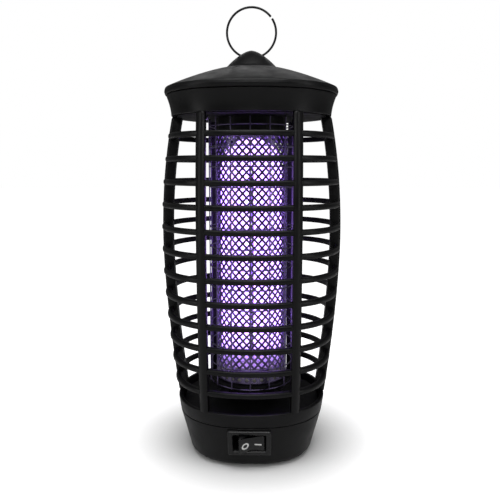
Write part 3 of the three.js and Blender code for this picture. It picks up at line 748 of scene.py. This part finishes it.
# %% The tub's section
RECESS = 0.6  # height of the tub's lowest edge over the ground
FOOT_FILLET = 5
FILLET_STEPS = 12
COVER_RADIUS = 25.4
COVER_THICKNESS = 1.8
COVER_LEDGE = 2.5  # how far the tub's floor reaches in over the cover
FLOOR_RISE = 6  # the wall's inside slopes in to the floor over this height
ledge = RECESS + COVER_THICKNESS + GAP


def foot_arc():
    """The fillet, from the underside round to the leaning wall."""
    turned = math.pi / 2 - math.atan(wall_slope)
    middle = wall_radius(RECESS) - FOOT_FILLET * math.tan(turned / 2)
    arc = []
    for i in range(FILLET_STEPS + 1):
        angle = turned * i / FILLET_STEPS - math.pi / 2
        rise = RECESS + FOOT_FILLET * (1 + math.sin(angle))
        arc.append((middle + FOOT_FILLET * math.cos(angle), rise))
    return arc


def base_profile():
    arc = foot_arc()
    floor_edge = ledge + FLOOR_RISE
    wall = [
        arc[-1], (seam_radius, base_top), (seam_radius - WALL, base_top),
        (wall_radius(floor_edge) - WALL, floor_edge),
    ]
    inside = [
        (wall_radius(ledge) - WALL - COVER_LEDGE, ledge + WALL),
        (COVER_RADIUS - COVER_LEDGE, ledge + WALL),
        (COVER_RADIUS - COVER_LEDGE, ledge),
        (COVER_RADIUS + GAP, ledge),
        (COVER_RADIUS + GAP, RECESS + GAP),
    ]
    return arc + rounded(wall, [0, 0.35, 0.3, 0], closed=False)[1:] + inside


print(len(base_profile()), "points in the section")

# %% Turn the tub, then cut the switch's pocket and opening and the bush's hole
SWITCH_WIDTH = 21
SWITCH_HEIGHT = 14
OPENING_WIDTH = 19
OPENING_HEIGHT = 12
BUSH_HOLE = 3.9
CUT_DEPTH = 10
BUSH_CUT = 8
bush_middle = (corners("cord_bush")[0] + corners("cord_bush")[1]) / 2


def front_block(width, height, radius, inner, outer):
    """A rounded block that stands square to the front wall, between two depths."""
    mesh = bmesh.new()
    loft(mesh, [rectangle(width, height, radius, inner), rectangle(width, height, radius, outer)])
    mesh.transform(on_front)
    return mesh


def base_housing():
    mesh = bmesh.new()
    turn(mesh, base_profile(), base_plan)
    base = piece("fine_base_housing", mesh, shell_black, "housing", "black_plastic", "base_housing")
    pocket = front_block(SWITCH_WIDTH + 2 * GAP, SWITCH_HEIGHT + 2 * GAP, 0.8, 0, CUT_DEPTH)
    opening = front_block(OPENING_WIDTH, OPENING_HEIGHT, 0.5, -CUT_DEPTH, CUT_DEPTH)
    hole = bmesh.new()
    turn(hole, [(0, -BUSH_CUT), (BUSH_HOLE, -BUSH_CUT), (BUSH_HOLE, BUSH_CUT), (0, BUSH_CUT)], sides=48)
    hole.transform(Matrix.Translation(bush_middle * MM) @ Matrix.Rotation(math.pi / 2 - tilt, 4, "X"))
    carve(base, pocket, opening, hole)
    return base


tub = base_housing()
print("base", len(tub.data.polygons), "faces")

# %% [markdown]
# ## Rocker switch
# A standard snap-in rocker: a bezel whose inner edge slopes down to the rocker, and a rocker with a
# shallow V face, so that one half always stands out. Loops of rounded rectangles, joined one to the next,
# give the bezel its slopes and soft corners in one closed skin. A Boolean between two boxes would leave
# every edge sharp.

# %% Sizes of the switch, and loops round its bezel and its window
BEZEL = 1.9
BODY_WIDTH = 18.6
BODY_HEIGHT = 11.6
BODY_DEPTH = 9
ROCKER_WIDTH = 12.8
ROCKER_HEIGHT = 8.9
END_CLEARANCE = 1.35  # at each end of the rocker, for its swing
bezel_front = BEZEL + GAP / 2
window = (ROCKER_WIDTH + 2 * END_CLEARANCE, ROCKER_HEIGHT + 2 * GAP)


def bezel_loop(shrink, radius, depth):
    return rectangle(SWITCH_WIDTH - shrink, SWITCH_HEIGHT - shrink, radius, depth)


def window_loop(grow, radius, depth):
    return rectangle(window[0] + grow, window[1] + grow, radius, depth)


print(f"bezel {SWITCH_WIDTH} by {SWITCH_HEIGHT} mm, window {window[0]:.1f} by {window[1]:.1f} mm")


# %% Body, bezel and window in one skin
def switch_housing():
    mesh = bmesh.new()
    body = [
        rectangle(BODY_WIDTH, BODY_HEIGHT, 0.4, -BODY_DEPTH),
        rectangle(BODY_WIDTH, BODY_HEIGHT, 0.4, 0.1),
    ]
    edge = [
        bezel_loop(0, 0.7, GAP / 2),
        bezel_loop(0, 0.7, bezel_front - 0.5),
        bezel_loop(0.3, 0.7, bezel_front - 0.15),
        bezel_loop(0.9, 0.6, bezel_front),
    ]
    inside = [
        window_loop(1.4, 0.6, bezel_front),
        window_loop(1, 0.6, bezel_front - 0.12),
        window_loop(0, 0.5, bezel_front - 0.9),
        window_loop(0, 0.5, 1 - BODY_DEPTH),
    ]
    loft(mesh, body + edge + inside)
    mesh.transform(on_front)
    return piece("fine_switch_housing", mesh, switch_black, "housing", "switch_plastic", "switch_housing")


switch_body = switch_housing()
print("switch housing", len(switch_body.data.polygons), "faces")

# %% The rocker, tilted to "on"
ROCKER_TRAVEL = rocker_joint["range_deg"][1]
END_PROUD = 4.95
MIDDLE_PROUD = 2.9
ROCKER_BACK = 3.6
BACK_TAPER = 1.2
BACK_FALL = 1.4
ROCKER_EDGE = 0.4
rest_tilt = Matrix.Rotation(math.radians(ROCKER_TRAVEL / 2), 4, "Z")
on_rocker = on_front @ Matrix.Translation((0, PIVOT_DEPTH * MM, 0)) @ rest_tilt


def rocker():
    mesh = bmesh.new()
    half = ROCKER_WIDTH / 2
    shoulder = ROCKER_BACK - BACK_FALL
    face = [(-half, -END_PROUD), (0, -MIDDLE_PROUD), (half, -END_PROUD)]
    back = [(half - BACK_TAPER, shoulder), (0, ROCKER_BACK), (BACK_TAPER - half, shoulder)]
    outline = rounded(face + back, [0.5, 5, 0.5, 0.5, 0.5, 0.5])
    loft(mesh, [[(x, y, z) for x, y in outline] for z in (-ROCKER_HEIGHT / 2, ROCKER_HEIGHT / 2)])
    mesh.transform(on_rocker)
    made = piece("fine_switch_rocker", mesh, switch_black, "rocker", "switch_plastic", "switch_rocker")
    add_bevel(made, ROCKER_EDGE, 3, 50)
    bake_modifiers(made)
    return made


rocker()
print(f"rocker stands at {ROCKER_TRAVEL / 2:.0f} degrees and travels {ROCKER_TRAVEL}")

# %% [markdown]
# The marks are the plain ones of every mains switch, a ring for off and a stroke for on. They are printed
# in white, and a printed mark could be a texture mask. Thin raised solids are used, so that the marks
# keep their shape in the mesh itself.

# %% A mark's place on the leaning face
MARK_DOWN = -0.7  # below the rocker's middle
face_slope = math.atan((END_PROUD - MIDDLE_PROUD) / (ROCKER_WIDTH / 2))


def on_face(across):
    """Frame of a mark on the rocker's face: its Y axis points into the plastic."""
    sign = 1 if across > 0 else -1
    proud = MIDDLE_PROUD + abs(across) * math.tan(face_slope)
    place = Matrix.Translation(Vector((across, -proud, MARK_DOWN)) * MM)
    return on_rocker @ place @ Matrix.Rotation(-sign * face_slope, 4, "Z")


print(f"each half of the face leans {math.degrees(face_slope):.0f} degrees")

# %% The ring and the stroke
MARK_RAISE = 0.06
MARK_SINK = -0.2  # how deep a mark is set in the plastic
RING_AT, STROKE_AT = -3.0, 3.3
RING_MARK = (1.0, 1.8)  # inner and outer radius
RING_STRETCH = 1.12
STROKE_LENGTH = 3.4
STROKE_WIDTH = 0.75
mark_white = finish("mark_white", (0.8, 0.8, 0.78), 0.5, drift=0.04, bump=0.02)


def off_mark():
    inner, outer = RING_MARK
    outline = [(inner, MARK_SINK), (outer, MARK_SINK), (outer, MARK_RAISE), (inner, MARK_RAISE)]
    ring = bmesh.new()
    turn(ring, rounded(outline, 0.05), sides=40)
    upright = Matrix.Rotation(math.pi / 2, 4, "X")
    ring.transform(on_face(RING_AT) @ upright @ Matrix.Diagonal((RING_STRETCH, 1, 1, 1)))
    return piece("off_mark", ring, mark_white, "rocker", "switch_plastic")


def on_mark():
    stroke = bmesh.new()
    loft(stroke, [rectangle(STROKE_LENGTH, STROKE_WIDTH, 0.2, depth) for depth in (MARK_SINK, MARK_RAISE)])
    stroke.transform(on_face(STROKE_AT))
    return piece("on_mark", stroke, mark_white, "rocker", "switch_plastic")


for mark in (off_mark(), on_mark()):
    print(mark.name, len(mark.data.polygons), "faces")

# %% [markdown]
# ## The two grids
# Insects bridge the gap between an outer grid of straight wires and an inner sleeve of fine diamond mesh,
# and a spark jumps. The outer one is resistance-welded: uprights on the outside, hoops every centimetre
# inside them. The sleeve is expanded metal, slit and stretched into diamonds. A Wireframe modifier on a
# diagonal grid would be quick, but it gives square bars. Two families of flat strips that wind up the
# cylinder, left-handed and right-handed, meet in real diamonds instead.

# %% Outer grid
GRID_WIRE = 0.65
GRID_UPRIGHTS = 14
GRID_RADIUS = 21.7  # of the uprights
HOOP_PITCH = 10.1
HOOP_INSET = 0.6 * GRID_WIRE  # the welds press the wires into each other a little
HOOP_START = 0.5
UPRIGHT_START = 0.2
ROUND_STEPS = 84
grid_low, grid_high = corners("outer_grid")
hoop_bottom = grid_low.z + HOOP_START
hoop_count = int((grid_high.z - hoop_bottom) / HOOP_PITCH) + 1


def level_circle(radius, height):
    angles = [2 * math.pi * i / ROUND_STEPS for i in range(ROUND_STEPS)]
    return [(radius * math.cos(angle), radius * math.sin(angle), height) for angle in angles]


def outer_grid():
    mesh = bmesh.new()
    for i in range(GRID_UPRIGHTS):
        angle = 2 * math.pi * (i + 0.5) / GRID_UPRIGHTS
        x, y = GRID_RADIUS * math.cos(angle), GRID_RADIUS * math.sin(angle)
        wire(mesh, [(x, y, grid_low.z + UPRIGHT_START), (x, y, grid_high.z)], GRID_WIRE / 2)
    for i in range(hoop_count):
        hoop = level_circle(GRID_RADIUS - HOOP_INSET, hoop_bottom + i * HOOP_PITCH)
        wire(mesh, hoop, GRID_WIRE / 2, closed=True, sides=8)
    return piece("fine_outer_grid", mesh, grid_steel, "housing", "steel_wire", "outer_grid")


outer_grid()
print(GRID_UPRIGHTS, "uprights and", hoop_count, "hoops")

# %% One strip of the inner sleeve
MESH_RADIUS = 18.3
DIAMONDS_ROUND = 30
DIAMOND_HEIGHT = 4.1
STRAND_WIDTH = 0.75
STRAND_THICKNESS = 0.3
mesh_low, mesh_high = corners("inner_grid")


def strand(mesh, start, hand):
    """One flat strip that climbs the sleeve, to the left or to the right by hand, -1 or 1."""
    rise = mesh_high.z - mesh_low.z
    steps = int(2 * rise / DIAMOND_HEIGHT)
    lead = hand * 2 * math.pi / DIAMONDS_ROUND / DIAMOND_HEIGHT
    loops = []
    for i in range(steps + 1):
        up = rise * i / steps
        angle = start + lead * up
        half = STRAND_WIDTH / 2
        loop = []
        for radial, vertical in ((-1, -1), (1, -1), (1, 1), (-1, 1)):
            reach = MESH_RADIUS + radial * STRAND_THICKNESS / 2
            turned = angle - hand * vertical * half / MESH_RADIUS
            height = mesh_low.z + min(rise, max(0, up + vertical * half))
            loop.append((reach * math.cos(turned), reach * math.sin(turned), height))
        loops.append(loop)
    loft(mesh, loops)


print(f"the sleeve is {mesh_high.z - mesh_low.z:.0f} mm tall, with {DIAMONDS_ROUND} diamonds round it")

# %% The sleeve, with a plain hem at both ends
HEM_HEIGHT = 1.2
HEM_DEPTH = 0.6


def add_hem(mesh, low, high):
    inside, outside = MESH_RADIUS - HEM_DEPTH / 2, MESH_RADIUS + HEM_DEPTH / 2
    outline = [(inside, low), (outside, low), (outside, high), (inside, high)]
    turn(mesh, rounded(outline, 0.1), sides=ROUND_STEPS)


def inner_grid():
    mesh = bmesh.new()
    for i in range(DIAMONDS_ROUND):
        start = 2 * math.pi * i / DIAMONDS_ROUND
        strand(mesh, start, 1)
        strand(mesh, start, -1)
    add_hem(mesh, mesh_low.z, mesh_low.z + HEM_HEIGHT)
    add_hem(mesh, mesh_high.z - HEM_HEIGHT, mesh_high.z)
    return piece("fine_inner_grid", mesh, grid_steel, "housing", "steel_wire", "inner_grid")


sleeve = inner_grid()
print("sleeve", len(sleeve.data.polygons), "faces")

# %% [markdown]
# ## Lamp
# The lamp is a folded fluorescent tube with a coating that glows violet-white. A clear glass tube round a
# glowing core would be closer to how it works, but the coating is on the inside of thin glass and hides
# everything behind it, so one glowing surface with a glassy gloss looks the same and renders faster. The
# glow is weaker next to the cap, where the electrodes sit.

# %% Glowing glass
GLOW = (0.5, 0.28, 1.0, 1)
END_GLOW = 0.4
FULL_GLOW = 5.0
END_LENGTH = 14  # how far up from the cap the glow is still growing
lamp_low, lamp_high = corners("lamp_tube")


def lamp_finish():
    material = finish("lamp_glow", (0.75, 0.68, 0.95), 0.12, drift=0.05, patches=0.03, bump=0.0)
    tree = material.node_tree
    place = tree.nodes.new("ShaderNodeTexCoord")
    split = tree.nodes.new("ShaderNodeSeparateXYZ")
    tree.links.new(place.outputs["Object"], split.inputs["Vector"])
    low, high = lamp_low.z * MM, (lamp_low.z + END_LENGTH) * MM
    glow = add_range(tree, split.outputs["Z"], low, high, END_GLOW, FULL_GLOW)
    shader = tree.nodes["Principled BSDF"]
    shader.inputs["Emission Color"].default_value = GLOW
    tree.links.new(glow, shader.inputs["Emission Strength"])
    return material


lamp_glow = lamp_finish()
print(f"the glow is full above {lamp_low.z + END_LENGTH:.0f} mm")

# %% Two legs and the bend that joins them
TUBE = 14.5
LEG_STEPS = 20
BEND_STEPS = 24
leg_offset = (lamp_high.x - lamp_low.x - TUBE) / 2
leg_top = lamp_high.z - TUBE / 2 - leg_offset


def lamp_tube():
    rises = [(leg_top - lamp_low.z) * i / LEG_STEPS for i in range(LEG_STEPS)]
    left_leg = [(-leg_offset, 0, lamp_low.z + rise) for rise in rises]
    right_leg = [(leg_offset, 0, lamp_low.z + rise) for rise in reversed(rises)]
    bend = []
    for i in range(BEND_STEPS + 1):
        angle = math.pi * i / BEND_STEPS
        bend.append((-leg_offset * math.cos(angle), 0, leg_top + leg_offset * math.sin(angle)))
    mesh = bmesh.new()
    wire(mesh, left_leg + bend + right_leg, TUBE / 2, sides=32)
    return piece("fine_lamp_tube", mesh, lamp_glow, "housing", "lamp_glass", "lamp_tube")


lamp_tube()
print(f"lamp {lamp_high.z - lamp_low.z:.0f} mm tall, legs {2 * leg_offset:.0f} mm apart")

# %% [markdown]
# ## Insulators and tray
# The tray floor catches what falls. A column stands on it and carries the lower insulator, a star of
# fingers that holds the outer grid's lowest hoop and leaves the tray open between them. The upper
# insulator closes the cage under the roof, and its round boss centres the sleeve. These are the packed
# pieces with their edges softened, because their shape is plain and is already right. A Bevel modifier
# limited by angle rounds just the real corners.

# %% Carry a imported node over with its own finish
def carry(node, material, edge):
    made = frame["nodes"][node]
    made.data.materials.clear()
    made.data.materials.append(material)
    add_bevel(made, edge, 2, 40)


ivory = finish("ivory_moulding", (0.5, 0.48, 0.42), 0.45, drift=0.08, bump=0.06)
for node in ("tray_floor", "lower_insulator", "upper_insulator"):
    carry(node, inner_black, 0.3)
carry("base_cover", shell_black, 0.3)
carry("lamp_cap", ivory, 0.4)
print("three inner mouldings, the cover and the lamp's cap carried over")

# %% [markdown]
# ## Screws, feet and bush
# Small standard parts are where a stand-in shows first. A pan-head screw is a turned dome with a
# tapered cross cut into it, and a foot is a rubber button with a rounded edge and a shallow hollow. Each
# is one profile, turned and placed by its node's box. The bush is a plain collar with a bore for the
# cord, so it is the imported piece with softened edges, and so are the switch's brass terminals.

# %% Pan-head screws
HEAD_HEIGHT = 1.6
SHANK_RADIUS = 1.3
TIP = 1
CROSS_ANGLE = 25


def cross_arm():
    """One arm of the cross, wide at the head's surface and narrow at its bottom."""
    loops = []
    for length, width, depth in ((2.6, 0.64, -0.5), (1, 0.4, 1.1)):
        x, y = length / 2, width / 2
        loops.append([(-x, -y, depth), (x, -y, depth), (x, y, depth), (-x, y, depth)])
    mesh = bmesh.new()
    loft(mesh, loops)
    return mesh


def screw(node):
    """A screw with its head down."""
    low, high = corners(node)
    middle = (low + high) / 2
    head = (high.x - low.x) / 2
    long = high.z - low.z
    dome = [(0, 0), (head * 0.72, 0.12), (head, 0.75), (head, HEAD_HEIGHT)]
    shank = [(SHANK_RADIUS, HEAD_HEIGHT), (SHANK_RADIUS, long - TIP), (0, long)]
    mesh = bmesh.new()
    turn(mesh, rounded(dome + shank, [0, 0.8, 0.3, 0.1, 0.2, 0.2, 0], closed=False), sides=48)
    seat = Matrix.Translation(Vector((middle.x, middle.y, low.z)) * MM)
    mesh.transform(seat)
    made = piece(f"fine_{node}", mesh, zinc, "housing", "screw_steel", node)
    for quarter in (0, 90):
        arm = cross_arm()
        arm.transform(seat @ Matrix.Rotation(math.radians(quarter + CROSS_ANGLE), 4, "Z"))
        carve(made, arm)


for i in range(1, 4):
    screw(f"roof_screw_{i}")
    screw(f"cover_screw_{i}")
print("six screws")


# %% Rubber feet
def rubber_foot(node):
    low, high = corners(node)
    middle = (low + high) / 2
    radius = (high.x - low.x) / 2
    height = high.z - low.z
    hollow = [(0, 0.25), (radius * 0.45, 0.25), (radius * 0.55, 0)]
    rim = [(radius, 0), (radius, height), (0, height)]
    mesh = bmesh.new()
    turn(mesh, rounded(hollow + rim, [0, 0.3, 0.3, 0.6, 0.2, 0], closed=False), sides=48)
    mesh.transform(Matrix.Translation(Vector((middle.x, middle.y, low.z)) * MM))
    piece(f"fine_{node}", mesh, foot_rubber, "housing", "rubber", node)


for i in range(1, 5):
    rubber_foot(f"foot_{i}")
print("four feet")

# %% Bush and terminals
brass = finish("brass", (0.6, 0.42, 0.14), 0.3, bump=0.05, Metallic=1.0)
carry("cord_bush", foot_rubber, 0.3)
carry("switch_terminal_1", brass, 0.1)
carry("switch_terminal_2", brass, 0.1)
print("a rubber bush and two brass terminals")

# %% [markdown]
# ## Electronics
# Inside the base a small board doubles and redoubles the mains voltage for the grid. Its parts keep the
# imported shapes, since they are seen only when the cover is off. Each has its own finish: green solder
# mask, grey ferrite, dipped resin, glass and sleeved leads.

# %% Finishes for the board and its parts
board = finish("solder_mask", (0.02, 0.12, 0.04), 0.35, grain=1400, bump=0.12)
resin = finish("dipped_resin", (0.35, 0.05, 0.02), 0.25, drift=0.15, bump=0.08)
ferrite = finish("ferrite", (0.03, 0.03, 0.033), 0.7, grain=1600, bump=0.2)
red_sleeve = finish("red_sleeve", (0.3, 0.02, 0.02), 0.5, bump=0.05)
black_sleeve = finish("black_sleeve", (0.012, 0.012, 0.012), 0.5, bump=0.05)
fuse_glass = finish("fuse_glass", (0.7, 0.72, 0.72), 0.08, patches=0.03, bump=0.0, Transmission_Weight=0.8)
print("six finishes for eight parts")

# %% Carry the board and its parts over
electronics = {
    "circuit_board": board,
    "transformer": ferrite,
    "fuse": fuse_glass,
    "film_capacitor_1": resin,
    "film_capacitor_2": resin,
    "lamp_lead_1": red_sleeve,
    "lamp_lead_2": red_sleeve,
    "switch_lead": black_sleeve,
}
for node, material in electronics.items():
    carry(node, material, 0.2)
print(len(electronics), "parts inside the base")

# %% [markdown]
# ## Studio
# A black lantern on white is a hard case: a bright white world would wash the plastic out to grey. So the
# surroundings are white only where the camera sees them, and dim as a light. A Light Path node tells the
# two apart. The light comes from panels instead, as a product photographer would set them: a large one
# overhead, a small one above the camera and a faint one behind, and a tall strip at each side that draws
# a long highlight down the cage. The camera looks down a little, from the height of the upper rings.

# %% Camera
CAMERA_DISTANCE = 312.4  # from the lantern's axis
CAMERA_HEIGHT = 146.2
CAMERA_PITCH = 7.71  # degrees down
CAMERA_AZIMUTH = 1.6  # degrees round from the front
LENS = 43.53
SHIFT = -0.003


def studio_camera():
    data = bpy.data.cameras.new("camera")
    data.lens = LENS
    data.shift_x = SHIFT
    data.clip_start = 0.01
    camera = bpy.data.objects.new("camera", data)
    bpy.context.scene.collection.objects.link(camera)
    around = math.radians(CAMERA_AZIMUTH)
    camera.location = Vector((math.sin(around), -math.cos(around), 0)) * CAMERA_DISTANCE * MM
    camera.location.z = CAMERA_HEIGHT * MM
    camera.rotation_euler = (math.radians(90 - CAMERA_PITCH), 0, around)
    bpy.context.scene.camera = camera


studio_camera()
print(f"camera {CAMERA_DISTANCE:.0f} mm from the axis, {CAMERA_HEIGHT:.0f} mm high")

# %% White surroundings
AMBIENT = 0.1  # how bright they are as a light


def white_world():
    world = bpy.data.worlds.new("white_studio")
    bpy.context.scene.world = world
    world.use_nodes = True
    tree = world.node_tree
    sky = tree.nodes["Background"]
    sky.inputs["Color"].default_value = (1, 1, 1, 1)
    rays = tree.nodes.new("ShaderNodeLightPath")
    level = add_range(tree, rays.outputs["Is Camera Ray"], 0, 1, AMBIENT, 1)
    tree.links.new(level, sky.inputs["Strength"])


white_world()
print("white to the camera, and", AMBIENT, "as a light")

# %% [markdown]
# The floor has to melt into the white without a horizon, yet keep the soft shadow that makes the lantern
# stand.
# A floor that was white all over would lose the shadow. So its paper is plain grey-white, and from 30 to 85
# mm from the axis it glows up, for the camera only, to the same white as the surroundings. Near the lantern
# the glow is left out, so the grey ring round the foot is painted shade that darkens the floor whatever the
# light.

# %% A floor that fades to white
PAPER = (0.6, 0.6, 0.6)
FADE_STARTS = 30
FADE_ENDS = 85
FLOOR_SIZE = 4  # metres from its middle to its edge


def sweep_finish():
    paper = finish("white_sweep", PAPER, 0.9, drift=0.01, bump=0.0, Specular_IOR_Level=0.0)
    tree = paper.node_tree
    place = tree.nodes.new("ShaderNodeTexCoord")
    away = tree.nodes.new("ShaderNodeVectorMath")
    away.operation = "LENGTH"
    tree.links.new(place.outputs["Object"], away.inputs[0])
    # painted shade: no glow inside FADE_STARTS, so the floor round the lantern stays grey whatever the light
    fade = add_range(tree, away.outputs["Value"], FADE_STARTS * MM, FADE_ENDS * MM, 0, 1)
    rays = tree.nodes.new("ShaderNodeLightPath")
    seen = tree.nodes.new("ShaderNodeMath")
    seen.operation = "MULTIPLY"
    tree.links.new(fade, seen.inputs[0])
    tree.links.new(rays.outputs["Is Camera Ray"], seen.inputs[1])
    shader = tree.nodes["Principled BSDF"]
    shader.inputs["Emission Color"].default_value = (1, 1, 1, 1)
    tree.links.new(seen.outputs["Value"], shader.inputs["Emission Strength"])
    return paper


sweep = bmesh.new()
bmesh.ops.create_grid(sweep, x_segments=8, y_segments=8, size=FLOOR_SIZE)
floor = piece("floor", sweep, sweep_finish(), None, None)
print(f"floor {2 * FLOOR_SIZE} m across")

# %% Five soft panels
MIDDLE = (0, 0, 0.11)  # metres, the lantern's middle
ROOF = (0, 0, 0.19)
PANELS = {  # name: width and height, place and aim in metres, then watts
    "overhead": ((0.7, 0.42), (0, -0.28, 0.9), MIDDLE, 6.0),
    "above_camera": ((0.6, 0.2), (0, -0.8, 0.5), MIDDLE, 1.5),
    "behind": ((0.7, 0.2), (0, 0.8, 0.7), ROOF, 0.35),
    "left_strip": ((0.12, 0.7), (-0.55, -0.25, 0.25), MIDDLE, 0.7),
    "right_strip": ((0.12, 0.7), (0.55, -0.25, 0.25), MIDDLE, 0.7),
}


def soft_panel(name, size, place, aim, power):
    data = bpy.data.lights.new(name, "AREA")
    data.shape = "RECTANGLE"
    data.size, data.size_y = size
    data.energy = power
    panel = bpy.data.objects.new(name, data)
    bpy.context.scene.collection.objects.link(panel)
    panel.location = place
    panel.rotation_euler = (Vector(aim) - Vector(place)).to_track_quat("-Z", "Y").to_euler()


for name, setting in PANELS.items():
    soft_panel(name, *setting)
bpy.context.scene.view_settings.view_transform = "Standard"
print(len(PANELS), "panels")
